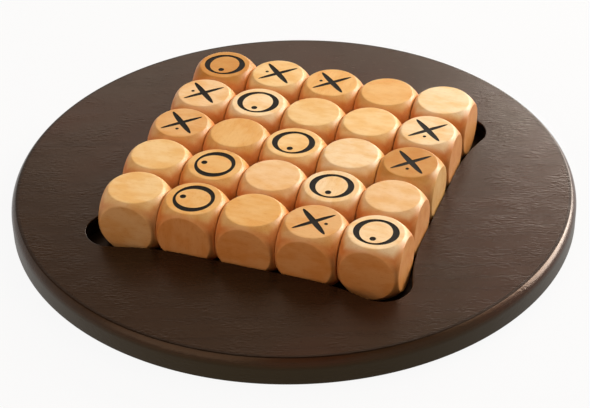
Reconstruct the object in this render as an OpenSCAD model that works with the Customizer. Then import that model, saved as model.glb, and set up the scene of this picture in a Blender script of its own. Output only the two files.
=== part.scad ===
// Sliding cube board game: a round wooden board with a square recess that swells into a
// lobe at each corner, and a grid of loose ball-rounded cubes that stand in it. A player
// draws a cube out at the edge of the grid, pushes the row up behind it and sets the cube
// back at the open end. Lengths are in millimetres. +Z is up, +X runs along a row of
// cubes, +Y runs from the front row to the back row. The origin is the centre of the
// board's underside.

/* [Board] */
// Diameter of the board
board_d = 285; // [240:1:340]
// Thickness of the board
board_t = 14; // [11:0.5:24]
// Radius of the rounded moulding round the board's upper edge
rim_round = 2.4; // [1:0.1:4]
// Depth of the small square step between the top and the rounded moulding
rim_step = 1; // [0.4:0.1:2]
// Width of the sanded bevel on the outer edge of the top
rim_ease = 0.3; // [0.1:0.05:0.6]
// Radius of the board's lower edge
base_round = 1; // [0.4:0.1:2]

/* [Recess] */
// Depth of the recess that holds the cubes
recess_depth = 8.5; // [4:0.5:9]
// Width of the bevel round the upper edge of the recess
recess_ease = 0.5; // [0.2:0.1:0.7]
// Extra room between two opposite walls, in which the whole grid of cubes can shift
recess_play = 0.8; // [0:0.1:2]
// Diameter of the round finger lobe at each corner of the recess
lobe_d = 28; // [24:0.5:34]
// Distance from each recess wall in to the centre of the corner's lobe
lobe_inset = 8; // [6:0.1:8.4]
// Radius of the long sweep in which each wall runs out into a lobe
lobe_sweep = 110; // [20:5:110]

/* [Cubes] */
// Number of cubes along each side of the grid
grid_n = 5; // [3:1:6]
// Width of a cube, from one flat face to the opposite one
cube_w = 30; // [24:0.5:32]
// Width of wood between a round flat face and the square outline of its cube
face_margin = 1.8; // [0.4:0.1:3]
// Clearance between two cubes, and between a cube and a recess wall
cube_gap = 0.3; // [0.2:0.05:1]
// How far the last pushes left the front row too far right and the right column too far back
last_push = 1.2; // [0:0.1:1.2]

/* [Hidden] */
// How far a cutter runs past the face that it opens
cut_over = 1;
// How much wider a sweep is drawn than one that just touches its wall's line and its
// lobe's circle, so that it crosses them
sweep_over = 0.02;
board_r = board_d / 2;
// Radius of the top face, where its edge drops to the rounded moulding
arris_r = board_r - rim_round;
// Height at which the upright side of the board meets the rounded moulding
side_top = board_t - rim_step - rim_round;
recess_floor = board_t - recess_depth;
pitch = cube_w + cube_gap;
recess_w = grid_n * pitch + cube_gap + recess_play;
// The grid stands pushed against the right-hand and the back wall
grid_shift = recess_play / 2;
lobe_r = lobe_d / 2;
lobe_at = recess_w / 2 - lobe_inset;
// Half of the straight middle that is left of each wall by the widest sweep
straight_least = cube_w / 4;
// A sweep touches both its wall's line and its lobe's circle, so its centre lies the sum of
// the two radii away from the lobe's centre
sweep_most = (pow(lobe_at - straight_least, 2) / (lobe_r - lobe_inset) - lobe_r - lobe_inset) / 2;
sweep_r = min(lobe_sweep, sweep_most);
sweep_x = lobe_at - sqrt((lobe_r - lobe_inset) * (lobe_r + lobe_inset + 2 * sweep_r));
sweep_y = recess_w / 2 + sweep_r;
// Radius of each cube's round flat face, and of the ball that leaves faces of that size
face_r = cube_w / 2 - face_margin;
ball_r = sqrt(pow(cube_w / 2, 2) + pow(face_r, 2));
middle = (grid_n - 1) / 2;
// How far a sweep has left its wall's line at the near end of the outermost cube's face,
// which is how far that cube can be pushed on there
sweep_run = max(0, middle * pitch + grid_shift - face_r - sweep_x);
push_room = sweep_r - sqrt(pow(sweep_r, 2) - pow(sweep_run, 2));
outer_push = min(last_push, push_room);

column_letters = "abcdef";
function cube_name(column, row) = str("cube_", column_letters[column], row + 1);

$fn = 96;

// Half of the board's cross section, to the right of its axis
module rim_profile() {
    // Everything under the top face, with the bevel on its outer edge
    polygon([
        [0, 0],
        [arris_r, 0],
        [arris_r, board_t - rim_ease],
        [arris_r - rim_ease, board_t],
        [0, board_t]
    ]);
    // Rounded moulding
    translate([board_r - rim_round, side_top]) circle(r = rim_round);
    // Upright side
    translate([0, base_round]) square([board_r, side_top - base_round]);
    // Rounded lower edge
    square([board_r - base_round, side_top]);
    translate([board_r - base_round, base_round]) circle(r = base_round);
}

// Round lobe at one corner of the recess, with a bevelled mouth
module lobe() {
    cylinder(h = recess_depth + cut_over, r = lobe_r);
    translate([0, 0, recess_depth - recess_ease])
        cylinder(
            h = recess_ease + cut_over,
            r1 = lobe_r,
            r2 = lobe_r + recess_ease + cut_over
        );
}

// Wood that a wall's sweep goes round, drawn in by the bevel at its upper edge
module sweep_wood() {
    wood_r = sweep_r + sweep_over;
    translate([0, 0, -cut_over])
        cylinder(h = recess_depth - recess_ease + cut_over, r = wood_r, $fn = 360);
    translate([0, 0, recess_depth - recess_ease])
        cylinder(
            h = recess_ease + 2 * cut_over,
            r1 = wood_r,
            r2 = wood_r - recess_ease - 2 * cut_over,
            $fn = 360
        );
}

// Space between the line of the back wall and its right-hand sweep, up to the lobe
module sweep_space() {
    difference() {
        linear_extrude(recess_depth + cut_over)
            polygon([
                [sweep_x, sweep_y],
                [sweep_x, lobe_at],
                [lobe_at, lobe_at]
            ]);
        translate([sweep_x, sweep_y, 0]) sweep_wood();
    }
}

// Bar that bevels the upper edge of the back wall, ending inside the lobes
module wall_bevel() {
    bar_w = sqrt(2) * recess_ease;
    translate([0, recess_w / 2, recess_depth])
        rotate([45, 0, 0])
            cube([2 * lobe_at, bar_w, bar_w], center = true);
}

// Everything that is cut from the board above the recess floor
module recess_space() {
    translate([-recess_w / 2, -recess_w / 2, 0])
        cube([recess_w, recess_w, recess_depth + cut_over]);
    for (turn = [0:90:270])
        rotate([0, 0, turn]) {
            wall_bevel();
            translate([lobe_at, lobe_at, 0]) lobe();
            // The corner's two sweeps mirror each other in its diagonal
            for (flip = [0, 1]) mirror([flip, -flip, 0]) sweep_space();
        }
}

module board() {
    color([0.25, 0.17, 0.13])
        difference() {
            rotate_extrude() rim_profile();
            translate([0, 0, recess_floor]) recess_space();
        }
}

// One cube, rounded by a ball about its own centre, so that its six faces are discs
module game_cube(column, row) {
    push_right = row == 0 ? outer_push : 0;
    push_back = column == grid_n - 1 ? outer_push : 0;
    color([0.87, 0.70, 0.47])
        translate([
            (column - middle) * pitch + grid_shift + push_right,
            (row - middle) * pitch + grid_shift + push_back,
            recess_floor + cube_w / 2
        ])
            intersection() {
                cube(cube_w, center = true);
                sphere(r = ball_r);
            }
}

board();
for (row = [0:grid_n - 1], column = [0:grid_n - 1])
    game_cube(column, row);
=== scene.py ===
import math
import random

import bmesh
import bpy
from bpy.props import FloatProperty, FloatVectorProperty, IntProperty, PointerProperty
from mathutils import Matrix, Vector


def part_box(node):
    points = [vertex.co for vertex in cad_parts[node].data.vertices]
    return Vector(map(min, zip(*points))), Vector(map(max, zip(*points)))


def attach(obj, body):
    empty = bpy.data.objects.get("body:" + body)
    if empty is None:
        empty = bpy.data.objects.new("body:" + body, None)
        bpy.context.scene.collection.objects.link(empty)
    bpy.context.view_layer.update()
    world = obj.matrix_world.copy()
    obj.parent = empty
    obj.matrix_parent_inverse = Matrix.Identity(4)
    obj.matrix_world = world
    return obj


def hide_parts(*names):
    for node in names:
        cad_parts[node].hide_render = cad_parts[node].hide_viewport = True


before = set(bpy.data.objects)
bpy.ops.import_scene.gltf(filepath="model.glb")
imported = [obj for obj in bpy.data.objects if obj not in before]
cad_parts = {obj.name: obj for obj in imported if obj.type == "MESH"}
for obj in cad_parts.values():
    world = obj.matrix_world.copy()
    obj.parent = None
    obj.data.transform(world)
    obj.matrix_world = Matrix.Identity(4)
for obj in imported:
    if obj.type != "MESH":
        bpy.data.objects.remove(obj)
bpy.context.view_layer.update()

bl_info = {
    "name": "Sliding Cube Board Game",
    "version": (1, 0, 0),
    "blender": (4, 5, 0),
    "location": "View3D > Sidebar > Cube Game",
    "description": "Builds a round moulded board and its grid of ball-rounded marked cubes",
    "category": "Add Mesh",
}

MM = 0.001

# Which mark lies on top of each cube, the way its dot points, how its grain runs, and the
# tones of its wood on top and on the upright sides, the upright one a painted shaded copy of
# the wood, mostly darker and warmer. A cube with a blank top carries its two marks on hidden
# sides, and the dot's word then names those sides.
CUBES = {
    "a1": ("blank", "sides_x", "along_x", "honey", "amber"),
    "b1": ("ring", "left", "upright", "golden", "copper"),
    "c1": ("blank", "sides_x", "along_x", "golden", "copper"),
    "d1": ("cross", "right", "along_x", "amber", "copper"),
    "e1": ("ring", "front", "along_x", "cream", "copper"),
    "a2": ("blank", "sides_y", "along_x", "honey", "copper"),
    "b2": ("ring", "left", "along_x", "golden", "copper"),
    "c2": ("blank", "sides_x", "along_x", "rosy", "copper"),
    "d2": ("ring", "front", "along_y", "cream", "copper"),
    "e2": ("blank", "sides_y", "along_x", "rosy", "copper"),
    "a3": ("cross", "front", "along_x", "amber", "copper"),
    "b3": ("blank", "sides_x", "along_y", "golden", "copper"),
    "c3": ("ring", "front", "along_x", "honey", "copper"),
    "d3": ("blank", "sides_y", "along_x", "cream", "golden"),
    "e3": ("cross", "front", "upright", "russet", "golden"),
    "a4": ("cross", "left", "along_x", "rosy", "copper"),
    "b4": ("ring", "front", "along_x", "cream", "copper"),
    "c4": ("blank", "sides_x", "along_x", "honey", "copper"),
    "d4": ("blank", "sides_y", "along_x", "honey", "copper"),
    "e4": ("cross", "front", "along_x", "cream", "copper"),
    "a5": ("ring", "front", "along_x", "russet", "copper"),
    "b5": ("cross", "left", "along_x", "honey", "copper"),
    "c5": ("cross", "left", "along_y", "golden", "copper"),
    "d5": ("blank", "sides_x", "along_x", "golden", "copper"),
    "e5": ("blank", "sides_y", "along_x", "cream", "copper"),
}


def linear(red, green, blue):
    """A colour as the screen writes it, from 0 to 255, as the renderer's linear values."""
    def one(value):
        value /= 255
        return value / 12.92 if value <= 0.04045 else ((value + 0.055) / 1.055) ** 2.4
    return one(red), one(green), one(blue), 1.0


def tone_property(name, red, green, blue):
    """A colour setting, with its default as the screen writes it."""
    return FloatVectorProperty(
        name=name,
        description=f"Colour of the {name.lower()}",
        subtype="COLOR",
        size=4,
        min=0,
        max=1,
        default=linear(red, green, blue),
    )


def length_property(name, description, default, low=0.0, high=1.0):
    """A length setting, in metres."""
    return FloatProperty(
        name=name,
        description=description,
        default=default,
        min=low,
        max=high,
        precision=5,
        unit="LENGTH",
    )


def angle_property(name, description, degrees):
    """An angle setting, with its default in degrees."""
    return FloatProperty(
        name=name, description=description, default=math.radians(degrees), subtype="ANGLE"
    )


def power_property(name, description, watts):
    """The setting of a lamp's power, in watts."""
    return FloatProperty(name=name, description=description, default=watts, min=0, unit="POWER")


BOARD_LOW, BOARD_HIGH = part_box("board")
CUBE_LOW, CUBE_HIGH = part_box("cube_a1")


class BoardSettings(bpy.types.PropertyGroup):
    """Sizes and stain of the board."""

    diameter: length_property("Diameter", "Across the board", BOARD_HIGH.x - BOARD_LOW.x)
    thickness: length_property(
        "Thickness", "From the underside to the top face", BOARD_HIGH.z - BOARD_LOW.z
    )
    side_height: length_property(
        "Side Height", "From the underside to where the rounded moulding begins", 8.5 * MM
    )
    rim_inset: length_property(
        "Moulding Width", "From the side in to the edge of the top face", 2.6 * MM
    )
    arris_round: length_property(
        "Arris Radius", "Sanded rounding on the outer edge of the top face", 0.4 * MM
    )
    base_round: length_property(
        "Lower Edge Radius", "Rounding of the lower edge of the side", 1.0 * MM
    )
    recess_width: length_property(
        "Recess Width", "Between the straight middles of two opposite walls", 152.6 * MM
    )
    recess_depth: length_property("Recess Depth", "From the top face to the floor", 8.5 * MM)
    recess_ease: length_property(
        "Recess Edge", "Rounding of the edge round the mouth of the recess", 0.5 * MM
    )
    lobe_diameter: length_property(
        "Lobe Diameter", "Across the round lobe at each recess corner", 28 * MM
    )
    lobe_at: length_property(
        "Lobe Place", "From the board's centre lines to a lobe's centre", 68.3 * MM
    )
    sweep_radius: length_property(
        "Sweep Radius", "Long curve in which a recess wall runs out into a lobe", 110 * MM
    )
    steps_round: IntProperty(
        name="Steps Round", description="Faces round the rim", default=288, min=48
    )
    stain: tone_property("Dark Stain", 37, 25, 14)
    streak: tone_property("Dark Streaks", 24, 15, 8)
    edge: tone_property("Edge Stain And Painted Reflection", 37, 32, 14)
    lacquer: tone_property("Lacquer Sheen", 255, 212, 178)


class CubeSettings(bpy.types.PropertyGroup):
    """Sizes and wood tones of the cubes."""

    width: length_property(
        "Width", "Between two opposite flat faces", CUBE_HIGH.x - CUBE_LOW.x
    )
    face_radius: length_property(
        "Face Radius", "Radius of the round flat that each face keeps", 13.35 * MM
    )
    softness: length_property(
        "Softness", "How far the sanding softens the edge of a round flat", 0.35 * MM
    )
    turn: angle_property("Looseness", "Most that a cube stands turned in its place", 0.5)
    cream: tone_property("Cream Wood", 237, 212, 171)
    rosy: tone_property("Rosy Wood", 231, 197, 150)
    honey: tone_property("Honey Wood", 233, 200, 144)
    golden: tone_property("Golden Wood", 224, 181, 117)
    amber: tone_property("Amber Wood", 218, 174, 118)
    copper: tone_property("Copper Wood", 217, 155, 93)
    russet: tone_property("Russet Wood", 196, 144, 76)


class MarkSettings(bpy.types.PropertyGroup):
    """Sizes and colour of the rings, crosses and dots pressed into the cubes."""

    depth: length_property("Depth", "How deep the marks are pressed", 0.22 * MM)
    ring_wide: length_property("Ring Width", "Across the ring's two thick sides", 21.9 * MM)
    ring_tall: length_property("Ring Height", "Across the ring's two thin sides", 20.1 * MM)
    hole_wide: length_property("Hole Width", "Inside the ring, thick side to side", 15.5 * MM)
    hole_tall: length_property("Hole Height", "Inside the ring, thin side to side", 17.1 * MM)
    hole_shift: length_property("Hole Shift", "How far the hole sits towards the dot", 0.25 * MM)
    ring_dot: length_property("Ring Dot", "Diameter of the ring's dot", 3.1 * MM)
    ring_dot_at: length_property("Ring Dot Place", "From the centre to the dot", 5.6 * MM)
    thick_stroke: length_property("Thick Stroke", "Width of the cross's thick stroke", 3.1 * MM)
    thin_stroke: length_property("Thin Stroke", "Width of the cross's thin stroke", 2.4 * MM)
    stroke_length: length_property("Stroke Length", "Length of each stroke", 23.0 * MM)
    cross_dot: length_property("Cross Dot", "Diameter of the cross's dot", 1.8 * MM)
    cross_dot_at: length_property("Cross Dot Place", "From the centre to the dot", 6.1 * MM)
    ink: tone_property("Ink", 16, 13, 8)


class StageSettings(bpy.types.PropertyGroup):
    """Camera, floor and lamps."""

    camera_azimuth: angle_property("Azimuth", "Turn of the camera round the board", 20.216)
    camera_elevation: angle_property("Elevation", "Height above the horizon", 35.29)
    camera_roll: angle_property("Roll", "Tilt of the camera about its own axis", 1.253)
    camera_distance: length_property(
        "Distance", "From the camera to the point that it looks at", 0.8595, 0.1, 10
    )
    camera_lens: FloatProperty(
        name="Lens", description="Focal length", default=105.64, unit="CAMERA"
    )
    window_power: power_property("Window", "Bright window behind on the right", 21.0)
    right_power: power_property("Right Lamp", "Wide warm lamp on the right", 8.7)
    top_power: power_property("Top Lamp", "Soft lamp high up behind", 5.2)
    front_power: power_property("Front Lamp", "Warm lamp on the viewer's side", 5.2)
    sheet_power: power_property("Sheet", "Pale sheet in front that only shows in gloss", 11.0)
    gleam_power: power_property("Gleam", "Bright wall that lights up the rim on the right", 54.0)
    haze_power: power_property("Haze", "Pale strip behind that veils the board's top", 1.15)
    veil_power: power_property("Veil", "Small sheet above the pale strip", 0.3)
    sky: FloatProperty(
        name="Sky", description="Strength of the soft light all round", default=0.155, min=0
    )
    floor: tone_property("Floor", 196, 190, 184)
    ceiling: tone_property("Ceiling", 208, 168, 138)


class Wire:
    """One output of a node. Maths on it adds Math nodes, so a pattern reads as a formula."""

    def __init__(self, recipe, socket):
        self.recipe, self.socket = recipe, socket

    def other(self, name):
        """Another output of the same node."""
        return Wire(self.recipe, self.socket.node.outputs[name])

    def __add__(self, term):
        return self.recipe.maths("ADD", self, term)

    def __radd__(self, term):
        return self.recipe.maths("ADD", term, self)

    def __sub__(self, term):
        return self.recipe.maths("SUBTRACT", self, term)

    def __rsub__(self, term):
        return self.recipe.maths("SUBTRACT", term, self)

    def __mul__(self, term):
        return self.recipe.maths("MULTIPLY", self, term)

    def __rmul__(self, term):
        return self.recipe.maths("MULTIPLY", term, self)

    def __truediv__(self, term):
        return self.recipe.maths("DIVIDE", self, term)

    def __rtruediv__(self, term):
        return self.recipe.maths("DIVIDE", term, self)


class Recipe:
    """The nodes of one material or world, and the one method that adds a node to them."""

    def __init__(self, owner):
        owner.use_nodes = True
        self.owner = owner
        self.nodes = owner.node_tree.nodes
        self.links = owner.node_tree.links
        self.nodes.clear()

    def add(self, kind, settings=None, inputs=None, output=0):
        """Adds a node of a kind, makes its settings, then fills or links its sockets."""
        node = self.nodes.new(kind)
        for name, value in (settings or {}).items():
            if name == "stops":
                stops = node.color_ramp.elements
                while len(stops) < len(value):
                    stops.new(1.0)
                for stop, (place, level) in zip(stops, value):
                    stop.position = place
                    stop.color = (level, level, level, 1)
            else:
                setattr(node, name, value)
        for name, value in (inputs or {}).items():
            if isinstance(value, Wire):
                self.links.new(value.socket, node.inputs[name])
            else:
                node.inputs[name].default_value = value
        return Wire(self, node.outputs[output]) if node.outputs else None

    def maths(self, operation, *terms):
        return self.add("ShaderNodeMath", {"operation": operation}, dict(enumerate(terms)))

    def attribute(self, name, output):
        return self.add("ShaderNodeAttribute", {"attribute_name": name}, output=output)

    def stretched(self, vector, x, y, z):
        settings = {"operation": "MULTIPLY"}
        return self.add("ShaderNodeVectorMath", settings, {0: vector, 1: (x, y, z)})

    def noise(self, vector, scale=1.0, detail=3.0, roughness=0.5):
        inputs = {"Vector": vector, "Scale": scale, "Detail": detail, "Roughness": roughness}
        return self.add("ShaderNodeTexNoise", None, inputs, "Fac")

    def ramp(self, factor, *stops):
        return self.add("ShaderNodeValToRGB", {"stops": stops}, {"Fac": factor}, "Color")

    def mix(self, factor, first, second, blend="MIX"):
        settings = {"data_type": "RGBA", "blend_type": blend}
        return self.add("ShaderNodeMix", settings, {0: factor, 6: first, 7: second}, 2)

    def tinted(self, colour, red, green, blue):
        """A colour with its three parts multiplied."""
        return self.mix(1.0, colour, (red, green, blue, 1), "MULTIPLY")

    def bump(self, height, distance):
        return self.add("ShaderNodeBump", None, {"Height": height, "Distance": distance})

    def seen(self):
        """1 for a ray that shows the surface itself, seen directly, in gloss or through glass."""
        path = self.add("ShaderNodeLightPath", None, None, "Is Camera Ray")
        seen = path
        for name in ("Is Glossy Ray", "Is Transmission Ray"):
            seen = self.maths("MAXIMUM", seen, path.other(name))
        return seen

    def finish(self, **surface):
        """The shader and the output. A socket's name is written with _ for each space."""
        inputs = {name.replace("_", " "): value for name, value in surface.items()}
        shader = self.add("ShaderNodeBsdfPrincipled", None, inputs)
        self.add("ShaderNodeOutputMaterial", None, {"Surface": shader})
        return self.owner


# Width of one year's growth in the pale wood, in millimetres
YEAR_RING = 3.4


def pale_wood():
    """Lacquered pale wood: faint growth rings, fine fibres and short flecks along the grain."""
    recipe = Recipe(bpy.data.materials.new("pale_wood"))
    place = recipe.attribute("grain_mm", "Vector")
    # Each vertex's wood tone, which carries the painted shade and warm glow set on each cube
    tint = recipe.attribute("tint", "Color")
    slow = recipe.noise(recipe.stretched(place, 0.02, 0.11, 0.11), detail=2)
    across = recipe.stretched(place, 0.0, 1.0, 1.0)
    radius = recipe.add("ShaderNodeVectorMath", {"operation": "LENGTH"}, {0: across}, "Value")
    year = recipe.maths("FRACT", radius / YEAR_RING + slow * 2.6)
    late_wood = recipe.ramp(year, (0.0, 0.0), (0.55, 0.25), (0.9, 1.0), (1.0, 0.0))
    fibre = recipe.noise(recipe.stretched(place, 0.09, 1.7, 1.7), detail=4, roughness=0.6)
    fleck_noise = recipe.noise(recipe.stretched(place, 0.45, 1.9, 1.9), detail=2)
    fleck = recipe.ramp(fleck_noise, (0.56, 0.0), (0.68, 1.0))
    cloud = recipe.noise(recipe.stretched(place, 0.08, 0.15, 0.15), detail=2)
    darkness = late_wood * 0.1 + fibre * 0.3 + fleck * 0.4 - 0.1
    deep = recipe.tinted(tint, *linear(222, 180, 136)[:3])
    colour = recipe.mix(darkness * 0.55, tint, deep)
    warm = recipe.tinted(colour, *linear(248, 232, 204)[:3])
    colour = recipe.mix(recipe.ramp(cloud, (0.4, 0.0), (0.65, 1.0)), colour, warm)
    relief = fibre * 0.6 + fleck * -0.4
    return recipe.finish(
        Base_Color=colour,
        Roughness=0.3 + fibre * 0.12,
        Normal=recipe.bump(relief, 0.03 * MM),
        IOR=1.22,
    )


def pressed_ink(ink):
    """Dark pressed ink, slightly worn, so that its level and gloss vary a little."""
    recipe = Recipe(bpy.data.materials.new("pressed_ink"))
    place = recipe.attribute("grain_mm", "Vector")
    mottle = recipe.noise(place, scale=1.4, detail=4, roughness=0.6)
    worn = recipe.tinted(tuple(ink), 1.9, 1.75, 1.5)
    colour = recipe.mix(recipe.ramp(mottle, (0.45, 0.0), (0.75, 1.0)), tuple(ink), worn)
    return recipe.finish(
        Base_Color=colour,
        Roughness=0.42 + mottle * 0.2,
        Normal=recipe.bump(mottle, 0.03 * MM),
        IOR=1.16,
    )


# The board's grain runs this far off the rows of cubes
BOARD_GRAIN = math.radians(19.6)
# In millimetres: how far in from the board's side the moulding's painted highlight may reach
# and the recess's painted shade begins, how far under the top the recess's painted shade
# begins, and how far in from the top's edge the dark line's pattern begins
MOULDING_HIGHLIGHT_REACH, RECESS_SHADE_INSET, RECESS_SHADE_BELOW, LINE_INSET = 12.5, 17.5, 0.8, 1.9


def stained_wood(board):
    """Dark stained wood under satin lacquer, its rippled grain showing in the sheen.

    The stain is olive on the upright side, and that tone also paints in a greenish reflection of
    the floor. The moulding's upper part is lightened as a painted highlight, the recess is
    darkened as painted shade, and a thin line along the outer edge of the top is darker.
    """
    top, radius = board.thickness / MM, board.diameter / 2 / MM
    arris = radius - board.rim_inset / MM
    recipe = Recipe(bpy.data.materials.new("stained_wood"))
    place = recipe.add("ShaderNodeTexCoord", None, None, "Object")
    turn = {"Vector": place, "Rotation": (0, 0, -BOARD_GRAIN), "Scale": (1 / MM,) * 3}
    place = recipe.add("ShaderNodeMapping", {"vector_type": "POINT"}, turn)
    height = recipe.add("ShaderNodeSeparateXYZ", None, {0: place}, "Z")
    reach = recipe.add("ShaderNodeVectorMath", {"operation": "LENGTH"}, {0: place}, "Value")

    streaks = recipe.noise(recipe.stretched(place, 0.012, 0.22, 0.22), detail=4)
    pores = recipe.noise(recipe.stretched(place, 0.22, 1.5, 1.5), detail=3, roughness=0.6)
    pore = recipe.ramp(pores, (0.56, 0.0), (0.72, 1.0))
    ripple = recipe.noise(recipe.stretched(place, 0.36, 0.95, 0.95), detail=1)
    cloud = recipe.noise(place, scale=0.012, detail=2)
    grain = recipe.ramp(streaks * 0.7 + pore * 0.3, (0.3, 0.0), (0.75, 1.0))
    colour = recipe.mix(grain, tuple(board.stain), tuple(board.streak))
    reddish = recipe.tinted(colour, 1.35, 0.9, 0.82)
    colour = recipe.mix(recipe.ramp(cloud, (0.45, 0.0), (0.65, 1.0)), colour, reddish)
    # Painted shade: the recess is darkened to a third, as if light did not reach into it
    painted_recess_shade = recipe.tinted(colour, 0.3, 0.3, 0.3)

    # Olive edge stain on the upright side, which also stands in as a painted reflection of a
    # greenish floor
    side = recipe.ramp(height / top, (0.6, 1.0), (0.8, 0.0))
    colour = recipe.mix(side, colour, tuple(board.edge))
    # Painted highlight: the moulding's upper part is lightened as if it caught light from above
    moulding = recipe.ramp(height / top, (0.66, 0.0), (0.76, 1.0), (0.96, 1.0), (0.985, 0.0))
    moulding = moulding * recipe.maths("GREATER_THAN", reach, radius - MOULDING_HIGHLIGHT_REACH)
    colour = recipe.mix(moulding, colour, recipe.tinted(colour, 1.6, 1.6, 1.6))
    near = (reach - (arris - LINE_INSET)) / 4
    line = recipe.ramp(near, (0.22, 0.0), (0.36, 1.0), (0.66, 1.0), (0.72, 0.0))
    colour = recipe.mix(line, colour, recipe.tinted(colour, 0.3, 0.3, 0.3))
    # Mask of the recess's painted shade: below the top and in from the rim
    sunk = recipe.maths("LESS_THAN", height, top - RECESS_SHADE_BELOW)
    sunk = sunk * recipe.maths("LESS_THAN", reach, radius - RECESS_SHADE_INSET)

    calm = recipe.ramp(recipe.noise(place, scale=0.06, detail=1), (0.35, 0.15), (0.65, 1.0))
    return recipe.finish(
        Base_Color=recipe.mix(sunk, colour, painted_recess_shade),
        Roughness=0.22 + pores * 0.08 + side * 0.15,
        Normal=recipe.bump(ripple * calm + pores * 0.1, 0.12 * MM),
        IOR=1.30,
        Specular_Tint=tuple(board.lacquer),
    )


def add_piece(name, mesh, materials, body, node):
    """Links a finished mesh as a piece that rides on a body and replaces a CAD node."""
    piece = bpy.data.objects.new(name, mesh)
    for material in materials:
        mesh.materials.append(material)
    bpy.context.scene.collection.objects.link(piece)
    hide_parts(node)
    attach(piece, body)
    return piece


def mesh_from(shape, name):
    """Turns a bmesh into a mesh and frees it."""
    mesh = bpy.data.meshes.new(name)
    shape.to_mesh(mesh)
    shape.free()
    return mesh


def cut_with(shape, cutters):
    """Takes each cutter from a shape, one after the other, and gives the result as a bmesh.

    A cutter's faces keep their material number in the cut.
    """
    scratch = [bpy.data.objects.new("shape", mesh_from(shape, "shape"))]
    fillers = [bpy.data.materials.new("filler") for _ in range(2)]
    for cutter in cutters:
        scratch.append(bpy.data.objects.new("cutter", mesh_from(cutter, "cutter")))
    for item in scratch:
        for filler in fillers:
            item.data.materials.append(filler)
        bpy.context.scene.collection.objects.link(item)
    for item in scratch[1:]:
        modifier = scratch[0].modifiers.new("cut", "BOOLEAN")
        modifier.operation = "DIFFERENCE"
        modifier.solver = "EXACT"
        modifier.object = item
    graph = bpy.context.evaluated_depsgraph_get()
    cut = bmesh.new()
    cut.from_object(scratch[0], graph)
    for item in scratch:
        mesh = item.data
        bpy.data.objects.remove(item)
        bpy.data.meshes.remove(mesh)
    for filler in fillers:
        bpy.data.materials.remove(filler)
    return cut


def shade(shape, crease=35):
    """Smooth shading, with edges sharper than the crease angle kept crisp."""
    for face in shape.faces:
        face.smooth = True
    for edge in shape.edges:
        edge.smooth = not edge.is_manifold or edge.calc_face_angle() < math.radians(crease)


def clamp(value):
    """The value kept between 0 and 1."""
    return min(max(value, 0), 1)


def softer_least(first, second, blend):
    """The lesser of two values, eased over the blend where they are close."""
    near = max(blend - abs(first - second), 0) / blend
    return min(first, second) - near * near * blend / 4


# Rings of vertices from the middle of a cube's face to its edge: evenly spaced ones on the
# flat, then close ones across its softened rim, in millimetres from that rim, and then ones
# that square off towards the cube's edge
LOOPS = 18
FLAT_LOOPS = 8
FLAT_MARGIN = 0.9
RIM_LOOPS = (-0.55, -0.32, -0.1, 0.1, 0.32, 0.6)


def loop_radius(loop, face_radius):
    """Radius of a ring of vertices on a cube's face, and how far it has squared off."""
    if loop <= FLAT_LOOPS:
        return (face_radius - FLAT_MARGIN * MM) * loop / FLAT_LOOPS, 0.0
    across_rim = loop - FLAT_LOOPS - 1
    if across_rim < len(RIM_LOOPS):
        return face_radius + RIM_LOOPS[across_rim] * MM, 0.0
    inner = FLAT_LOOPS + len(RIM_LOOPS)
    return face_radius + RIM_LOOPS[-1] * MM, (loop - inner) / (LOOPS - inner)


def rounded_cube(cube):
    """A cube about the origin, rounded by a ball, with rings of vertices on each flat."""
    half = cube.width / 2
    ball = math.hypot(half, cube.face_radius)
    shape = bmesh.new()
    bmesh.ops.create_cube(shape, size=2)
    bmesh.ops.subdivide_edges(
        shape, edges=shape.edges[:], cuts=2 * LOOPS - 1, use_grid_fill=True
    )
    for vert in shape.verts:
        axes = sorted(range(3), key=lambda axis: -abs(vert.co[axis]))
        up, first, second = axes
        loop = round(abs(vert.co[first]) * LOOPS)
        place = Vector((0, 0, 0))
        place[up] = math.copysign(half, vert.co[up])
        if loop:
            turn = math.pi / 4 * abs(vert.co[second]) / abs(vert.co[first])
            radius, squared = loop_radius(loop, cube.face_radius)
            ring = Vector((math.cos(turn), math.sin(turn))) * radius
            square = Vector((half, half * math.tan(turn)))
            flat = ring.lerp(square, squared)
            place[first] = math.copysign(flat.x, vert.co[first])
            place[second] = math.copysign(flat.y, vert.co[second])
        ray = place.normalized()
        reach = half / max(abs(value) for value in ray)
        vert.co = ray * softer_least(reach, ball, cube.softness)
    return shape


def upright_cylinder(shape, wide, tall, centre, depth, steps):
    """Adds a closed elliptic cylinder that stands up through z = 0 to a bmesh."""
    made = bmesh.ops.create_cone(
        shape, cap_ends=True, segments=steps, radius1=0.5, radius2=0.5, depth=2
    )
    place = Matrix.Translation((*centre, 0)) @ Matrix.Diagonal((wide, tall, depth, 1))
    bmesh.ops.transform(shape, matrix=place, verts=made["verts"])


def ring_cutter(mark, top):
    """The ring and its dot as one cutter, the ring's thin sides towards +Y and -Y."""
    shape = bmesh.new()
    for wide, tall, shift in (
        (mark.ring_wide, mark.ring_tall, 0),
        (mark.hole_wide, mark.hole_tall, mark.hole_shift),
    ):
        made = bmesh.ops.create_circle(shape, segments=96, radius=0.5)
        place = Matrix.Translation((0, -shift, 0)) @ Matrix.Diagonal((wide, tall, 1, 1))
        bmesh.ops.transform(shape, matrix=place, verts=made["verts"])
    bmesh.ops.bridge_loops(shape, edges=shape.edges[:])
    wall = bmesh.ops.extrude_face_region(shape, geom=shape.faces[:])
    raised = [item for item in wall["geom"] if isinstance(item, bmesh.types.BMVert)]
    bmesh.ops.translate(shape, vec=(0, 0, 2 * mark.depth), verts=raised)
    bmesh.ops.translate(shape, vec=(0, 0, -mark.depth), verts=shape.verts[:])
    upright_cylinder(
        shape, mark.ring_dot, mark.ring_dot, (0, -mark.ring_dot_at), mark.depth, 40
    )
    return settle_cutter(shape, top)


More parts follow.
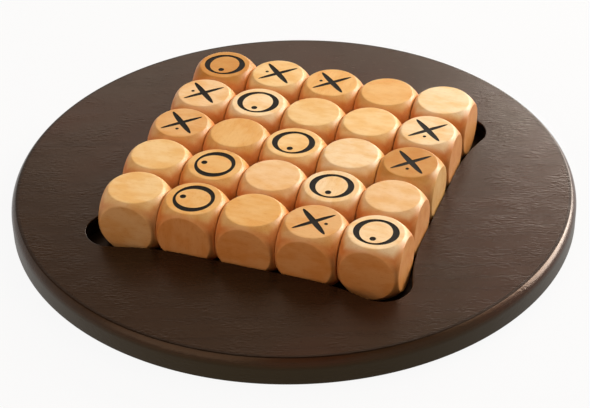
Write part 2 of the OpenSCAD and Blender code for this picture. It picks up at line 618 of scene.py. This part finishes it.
def stroke_cutter(mark, top, width, angle, depth):
    """One tapered stroke of the cross."""
    shape = bmesh.new()
    upright_cylinder(shape, mark.stroke_length, width, (0, 0), depth, 72)
    bmesh.ops.rotate(
        shape, cent=(0, 0, 0), matrix=Matrix.Rotation(angle, 3, "Z"), verts=shape.verts[:]
    )
    return settle_cutter(shape, top)


def dot_cutter(mark, top, towards):
    """The dot beside the cross, on the given side."""
    shape = bmesh.new()
    centre = Vector(towards) * mark.cross_dot_at
    upright_cylinder(shape, mark.cross_dot, mark.cross_dot, centre, mark.depth, 32)
    return settle_cutter(shape, top)


def settle_cutter(shape, top):
    """Points a cutter's faces outwards, marks them as ink and lifts or turns it to a face."""
    bmesh.ops.recalc_face_normals(shape, faces=shape.faces[:])
    for face in shape.faces:
        face.material_index = 1
    bmesh.ops.transform(shape, matrix=top, verts=shape.verts[:])
    return shape


def marked_cube(cube, mark, towards):
    """A cube with the ring on its top and the cross on its underside.

    Turned over about the X axis, the cross reads with its dot towards the given way.
    """
    top = Matrix.Translation((0, 0, cube.width / 2))
    under = Matrix.Rotation(math.pi, 4, "X") @ top
    cutters = [
        ring_cutter(mark, top),
        stroke_cutter(mark, under, mark.thick_stroke, math.radians(-45), mark.depth),
        stroke_cutter(mark, under, mark.thin_stroke, math.radians(45), 0.9 * mark.depth),
        dot_cutter(mark, under, towards),
    ]
    return cut_with(rounded_cube(cube), cutters)


def cube_turn(top, towards):
    """The turn from the marked cube as it is made to how it lies in the grid."""
    over = Matrix.Rotation(math.pi, 3, "X")
    if top == "ring":
        turn = math.radians(-90) if towards == "left" else 0
        return Matrix.Rotation(turn, 3, "Z")
    if top == "cross":
        return Matrix.Rotation(math.pi, 3, "Z") @ over if towards == "right" else over
    if towards == "sides_x":
        return Matrix.Rotation(math.radians(90), 3, "Y")
    return Matrix.Rotation(math.radians(90), 3, "X")


# The turn from each way that the grain runs to a plank that lies along X
GRAIN_TURN = {
    "along_x": Matrix.Identity(3),
    "along_y": Matrix.Rotation(math.radians(90), 3, "Z"),
    "upright": Matrix.Rotation(math.radians(90), 3, "Y"),
}


class CUBEGAME_OT_board(bpy.types.Operator):
    """Adds the round moulded board with its lobed square recess"""

    bl_idname = "cube_game.board"
    bl_label = "Add Board"

    def execute(self, context):
        board = context.scene.cube_game_board
        shape = cut_with(self.turned_blank(board), [self.recess_cutter(board)])
        self.ease_mouth(shape, board)
        shade(shape, 50)
        piece = add_piece(
            "moulded_board", mesh_from(shape, "moulded_board"), [stained_wood(board)],
            "board", "board",
        )
        weighted = piece.modifiers.new("even_shading", "WEIGHTED_NORMAL")
        weighted.keep_sharp = True
        return {"FINISHED"}

    def turned_blank(self, board):
        """The solid board, spun from its half section, with its corners rounded first."""
        radius, top = board.diameter / 2, board.thickness
        rise = top - board.side_height
        lean = 2 * math.atan2(board.rim_inset, rise)
        centre = radius - rise / math.sin(lean)
        shape = bmesh.new()
        shoulder = shape.verts.new((radius, 0, board.side_height))
        bmesh.ops.spin(
            shape, geom=[shoulder], cent=(centre, 0, board.side_height), axis=(0, -1, 0),
            angle=lean, steps=14,
        )
        arris = max(shape.verts, key=lambda vert: vert.co.z)
        corners = ((0, 0, top), (0, 0, 0), (radius, 0, 0))
        around = [shape.verts.new(corner) for corner in corners]
        for pair in zip([arris, *around], [*around, shoulder]):
            shape.edges.new(pair)
        bmesh.ops.edgeloop_fill(shape, edges=shape.edges[:])
        for vert, size in ((arris, board.arris_round), (around[-1], board.base_round)):
            bmesh.ops.bevel(
                shape, geom=[vert], offset=size, offset_type="OFFSET", affect="VERTICES",
                segments=4, profile=0.5, material=-1,
            )
        bmesh.ops.delete(shape, geom=shape.faces[:], context="FACES_ONLY")
        axis_edge = [edge for edge in shape.edges if all(abs(v.co.x) < 1e-9 for v in edge.verts)]
        bmesh.ops.delete(shape, geom=axis_edge, context="EDGES")
        bmesh.ops.spin(
            shape, geom=shape.verts[:] + shape.edges[:], cent=(0, 0, 0), axis=(0, 0, 1),
            angle=2 * math.pi, steps=board.steps_round, use_merge=True,
        )
        bmesh.ops.remove_doubles(shape, verts=shape.verts[:], dist=1e-7)
        bmesh.ops.recalc_face_normals(shape, faces=shape.faces[:])
        # The top and the underside become one face each, by a list in the mesh's own order, so
        # that every run gives the same faces
        spokes = [
            edge for edge in shape.edges
            if edge.calc_face_angle(1) < 1e-3 and abs(edge.link_faces[0].normal.z) > 0.999
        ]
        bmesh.ops.dissolve_edges(shape, edges=spokes, use_verts=True)
        return shape

    def recess_cutter(self, board):
        """The recess: an eighth of its outline in arcs, mirrored and turned, and raised."""
        half, at = board.recess_width / 2, board.lobe_at
        lobe, sweep = board.lobe_diameter / 2, board.sweep_radius
        start = at - math.sqrt((lobe - half + at) * (lobe + half - at + 2 * sweep))
        lean = math.atan2(at - start, half + sweep - at)
        floor = board.thickness - board.recess_depth
        shape = bmesh.new()
        wall = [shape.verts.new((across, half, floor)) for across in (0, start)]
        shape.edges.new(wall)
        arcs = (
            ((start, half + sweep), lean, 14),
            ((at, at), -(lean + math.pi / 4), 20),
        )
        last = wall[1]
        for centre, angle, steps in arcs:
            made = bmesh.ops.spin(
                shape, geom=[last], cent=(*centre, floor), axis=(0, 0, 1), angle=angle,
                steps=steps,
            )
            last = next(v for v in made["geom_last"] if isinstance(v, bmesh.types.BMVert))
        swap_xy = Matrix(((0, 1, 0, 0), (1, 0, 0, 0), (0, 0, 1, 0), (0, 0, 0, 1)))
        turns = [Matrix.Rotation(math.radians(angle), 4, "Z") for angle in (90, 180)]
        for step in (swap_xy, *turns):
            made = bmesh.ops.duplicate(shape, geom=shape.verts[:] + shape.edges[:])
            copied = [item for item in made["geom"] if isinstance(item, bmesh.types.BMVert)]
            bmesh.ops.transform(shape, matrix=step, verts=copied)
        bmesh.ops.remove_doubles(shape, verts=shape.verts[:], dist=1e-6)
        bmesh.ops.edgeloop_fill(shape, edges=shape.edges[:])
        raised = bmesh.ops.extrude_face_region(shape, geom=shape.faces[:])
        verts = [item for item in raised["geom"] if isinstance(item, bmesh.types.BMVert)]
        bmesh.ops.translate(shape, vec=(0, 0, board.recess_depth + 1 * MM), verts=verts)
        bmesh.ops.recalc_face_normals(shape, faces=shape.faces[:])
        return shape

    def ease_mouth(self, shape, board):
        """Rounds the edge that runs round the mouth of the recess."""
        reach = board.diameter / 2 - 2 * board.rim_inset
        edges = [
            edge for edge in shape.edges
            if all(v.co.z > board.thickness - 1e-6 and v.co.xy.length < reach for v in edge.verts)
            and edge.calc_face_angle(0) > 1
        ]
        bmesh.ops.bevel(
            shape, geom=edges, offset=board.recess_ease, offset_type="OFFSET", affect="EDGES",
            segments=3, profile=0.5, material=-1,
        )


# What the red, green and blue of a cube's wood lose on its rounded edges, a painted warm shade
# that stands in for light bounced between the cubes, and what all three lose low down on the
# upright edges, as painted shade in the gaps between the cubes
PAINTED_BOUNCE_WARMTH = (0.08, 0.28, 0.38)
PAINTED_GAP_SHADE = 0.42


class CUBEGAME_OT_cubes(bpy.types.Operator):
    """Adds the grid of loose cubes with their pressed rings and crosses"""

    bl_idname = "cube_game.cubes"
    bl_label = "Add Cubes"

    def execute(self, context):
        cube, mark = context.scene.cube_game_cubes, context.scene.cube_game_marks
        rng = random.Random(25)
        materials = [pale_wood(), pressed_ink(mark.ink)]
        made = {
            "left": marked_cube(cube, mark, (-1, 0)),
            "front": marked_cube(cube, mark, (0, -1)),
        }
        for name, (top, towards, grain, tone, side) in CUBES.items():
            sideways = top == "cross" and towards in ("left", "right")
            shape = made["left" if sideways else "front"].copy()
            lie = cube_turn(top, towards).to_4x4()
            bmesh.ops.transform(shape, matrix=lie, verts=shape.verts[:])
            self.set_grain(shape, GRAIN_TURN[grain], rng)
            self.set_tone_and_painted_light(shape, getattr(cube, tone), getattr(cube, side), rng)
            low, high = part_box(f"cube_{name}")
            wobble = Matrix.Rotation(rng.uniform(-cube.turn, cube.turn), 4, "Z")
            place = Matrix.Translation((low + high) / 2) @ wobble
            bmesh.ops.transform(shape, matrix=place, verts=shape.verts[:])
            shade(shape)
            add_piece(
                f"wood_cube_{name}", mesh_from(shape, f"wood_cube_{name}"), materials,
                f"cube_{name}", f"cube_{name}",
            )
        for shape in made.values():
            shape.free()
        return {"FINISHED"}

    def set_grain(self, shape, turn, rng):
        """Stores where each vertex lay in the plank, in millimetres, the grain along X."""
        layer = shape.verts.layers.float_vector.new("grain_mm")
        heart = Vector((rng.uniform(-400, 400), rng.uniform(25, 70), rng.uniform(-60, 60)))
        for vert in shape.verts:
            vert[layer] = turn.transposed() @ vert.co / MM + heart

    def set_tone_and_painted_light(self, shape, tone, side, rng):
        """Stores each vertex's tone, which runs from the top's to that of the upright sides.

        The upright sides' tone is a painted shaded copy of the wood. Off the flats it is warmer,
        as painted warm shade of light bounced between the cubes, and low down on the upright
        edges it is darker, as painted shade in the gaps between them.
        """
        layer = shape.verts.layers.float_color.new("tint")
        level = rng.uniform(0.98, 1.02)
        tone, side = Vector(tone[:3]) * level, Vector(side[:3]) * level
        half = max(vert.co.x for vert in shape.verts)
        for vert in shape.verts:
            across, up = max(abs(vert.co.x), abs(vert.co.y)), abs(vert.co.z)
            lower = (across - up) / MM
            sunk = (half - max(across, up)) / MM
            # Painted warm shade off the flats, where light would bounce between neighbouring
            # cubes
            warm = clamp(lower / 2.4 + 0.1) * clamp(sunk / 2.4)
            # Painted shade: darker low down on the upright edges, in the gaps between the cubes
            dark = clamp(lower / 6 - 0.8) * clamp((half - across) / (1.3 * MM))
            # The upright sides' tone is a painted shaded copy of the top's wood
            colour = tone.lerp(side, clamp(lower / 5 + 0.45)) * (1 - PAINTED_GAP_SHADE * dark)
            parts = [part * (1 - loss * warm) for part, loss in zip(colour, PAINTED_BOUNCE_WARMTH)]
            vert[layer] = (*parts, 1)


def way_to(azimuth, elevation):
    """A vector of length 1 from the middle of the stage, the azimuth counted from the X axis."""
    return Vector((
        math.cos(azimuth) * math.cos(elevation),
        math.sin(azimuth) * math.cos(elevation),
        math.sin(elevation),
    ))


DAYLIGHT, LAMPLIGHT, GLOW = (1, 0.96, 0.9), (1, 0.85, 0.72), (1, 0.73, 0.6)
SKY_GLOW, ZENITH = (1, 0.88, 0.74, 1), (0.1, 0.08, 0.06, 1)

# Each lamp's azimuth and elevation in degrees and its distance, its width and height, its
# colour, and the kind of ray that it is hidden from
LAMPS = {
    "window": ((72, 20, 1.3), (1.15, 0.44), DAYLIGHT, None),
    "right": ((30, 42, 1.3), (1.4, 0.6), LAMPLIGHT, None),
    "top": ((90, 62, 1.4), (0.9, 0.9), DAYLIGHT, "visible_glossy"),
    "front": ((-124, 29, 1.2), (0.9, 0.7), GLOW, "visible_glossy"),
    "sheet": ((-114, 38, 1.4), (1.2, 1.5), DAYLIGHT, "visible_diffuse"),
    "gleam": ((42, 21, 1.3), (0.85, 0.85), DAYLIGHT, "visible_diffuse"),
    "haze": ((108, 29, 1.5), (0.85, 0.28), LAMPLIGHT, "visible_diffuse"),
    "veil": ((104, 43, 1.5), (0.5, 0.3), LAMPLIGHT, "visible_diffuse"),
}

# The point that the camera looks at
LOOKED_AT = Vector((8.35, -21.06, 14.0)) * MM


class CUBEGAME_OT_stage(bpy.types.Operator):
    """Adds the camera, the pale floor, the lamps and the white surround"""

    bl_idname = "cube_game.stage"
    bl_label = "Add Stage"

    def execute(self, context):
        stage = context.scene.cube_game_stage
        context.scene.view_settings.view_transform = "Standard"
        self.add_camera(context, stage)
        self.add_floor(context, stage)
        self.add_world(context, stage)
        for name in LAMPS:
            self.add_lamp(context, name, getattr(stage, f"{name}_power"))
        return {"FINISHED"}

    def add_camera(self, context, stage):
        """A camera that looks at the board from the player's right, slightly rolled."""
        back = way_to(stage.camera_azimuth - math.pi / 2, stage.camera_elevation)
        right = Vector((0, 0, 1)).cross(back).normalized()
        up = back.cross(right)
        turned = Matrix((right, up, back)).transposed()
        turned = turned @ Matrix.Rotation(-stage.camera_roll, 3, "Z")
        camera = bpy.data.objects.new("camera", bpy.data.cameras.new("camera"))
        camera.data.lens = stage.camera_lens
        camera.data.sensor_width = 36
        camera.data.clip_end = 20
        camera.matrix_world = (
            Matrix.Translation(LOOKED_AT + back * stage.camera_distance) @ turned.to_4x4()
        )
        context.scene.collection.objects.link(camera)
        context.scene.camera = camera

    def add_floor(self, context, stage):
        """A wide floor just under the board. Seen itself it is white, but for the shadows."""
        shape = bmesh.new()
        bmesh.ops.create_grid(shape, x_segments=1, y_segments=1, size=6)
        bmesh.ops.translate(shape, vec=(0, 0, -0.2 * MM), verts=shape.verts[:])
        floor = bpy.data.objects.new("floor", mesh_from(shape, "floor"))
        recipe = Recipe(bpy.data.materials.new("floor"))
        matt = recipe.add("ShaderNodeBsdfDiffuse", None, {"Color": tuple(stage.floor)})
        white = recipe.add("ShaderNodeEmission", None, {"Strength": 1.0})
        whiteness = recipe.seen() * 0.92
        surface = recipe.add("ShaderNodeMixShader", None, {0: whiteness, 1: matt, 2: white})
        recipe.add("ShaderNodeOutputMaterial", None, {"Surface": surface})
        floor.data.materials.append(recipe.owner)
        context.scene.collection.objects.link(floor)

    def add_world(self, context, stage):
        """A soft glow all round. Seen itself, it is white low down under a dim warm ceiling."""
        recipe = Recipe(bpy.data.worlds.new("surround"))
        way = recipe.add("ShaderNodeTexCoord", None, None, "Generated")
        height = recipe.add("ShaderNodeSeparateXYZ", None, {0: way}, "Z")
        seen_colour = recipe.mix(
            recipe.ramp(height, (0.34, 0.0), (0.62, 1.0)), (1, 1, 1, 1), tuple(stage.ceiling)
        )
        zenith = recipe.ramp(height, (0.7, 0.0), (0.93, 1.0))
        seen_colour = recipe.mix(zenith, seen_colour, ZENITH)
        glow = {"Color": SKY_GLOW, "Strength": stage.sky}
        soft = recipe.add("ShaderNodeBackground", None, glow)
        white = recipe.add("ShaderNodeBackground", None, {"Color": seen_colour, "Strength": 1.0})
        surface = recipe.add("ShaderNodeMixShader", None, {0: recipe.seen(), 1: soft, 2: white})
        recipe.add("ShaderNodeOutputWorld", None, {"Surface": surface})
        context.scene.world = recipe.owner

    def add_lamp(self, context, name, power):
        """Adds one of the rectangular lamps, which faces the middle of the board's underside."""
        (azimuth, elevation, distance), size, colour, hidden = LAMPS[name]
        lamp = bpy.data.objects.new(name, bpy.data.lights.new(name, "AREA"))
        lamp.data.shape = "RECTANGLE"
        lamp.data.size, lamp.data.size_y = size
        lamp.data.energy = power
        lamp.data.color = colour
        way = way_to(math.radians(azimuth), math.radians(elevation))
        lamp.location = way * distance
        lamp.rotation_mode = "QUATERNION"
        lamp.rotation_quaternion = (-way).to_track_quat("-Z", "Y")
        if hidden:
            setattr(lamp, hidden, False)
        context.scene.collection.objects.link(lamp)


class CUBEGAME_PT_panel(bpy.types.Panel):
    """The game's settings and buttons in the 3D view's sidebar"""

    bl_idname = "CUBEGAME_PT_panel"
    bl_label = "Sliding Cube Game"
    bl_space_type = "VIEW_3D"
    bl_region_type = "UI"
    bl_category = "Cube Game"

    def draw(self, context):
        for group, operator in (
            ("cube_game_board", CUBEGAME_OT_board),
            ("cube_game_cubes", CUBEGAME_OT_cubes),
            ("cube_game_marks", None),
            ("cube_game_stage", CUBEGAME_OT_stage),
        ):
            box = self.layout.box()
            settings = getattr(context.scene, group)
            for name in settings.__annotations__:
                box.prop(settings, name)
            if operator:
                box.operator(operator.bl_idname)


GROUPS = {
    "cube_game_board": BoardSettings,
    "cube_game_cubes": CubeSettings,
    "cube_game_marks": MarkSettings,
    "cube_game_stage": StageSettings,
}
OPERATORS = (CUBEGAME_OT_board, CUBEGAME_OT_cubes, CUBEGAME_OT_stage)


def register():
    for group in GROUPS.values():
        bpy.utils.register_class(group)
    for name, group in GROUPS.items():
        setattr(bpy.types.Scene, name, PointerProperty(type=group))
    for operator in OPERATORS:
        bpy.utils.register_class(operator)
    bpy.utils.register_class(CUBEGAME_PT_panel)


def unregister():
    bpy.utils.unregister_class(CUBEGAME_PT_panel)
    for operator in reversed(OPERATORS):
        bpy.utils.unregister_class(operator)
    for name in GROUPS:
        delattr(bpy.types.Scene, name)
    for group in reversed(GROUPS.values()):
        bpy.utils.unregister_class(group)


def main():
    """Builds the stage, the board and the cubes."""
    register()
    bpy.ops.cube_game.stage()
    bpy.ops.cube_game.board()
    bpy.ops.cube_game.cubes()


if __name__ == "__main__":
    main()
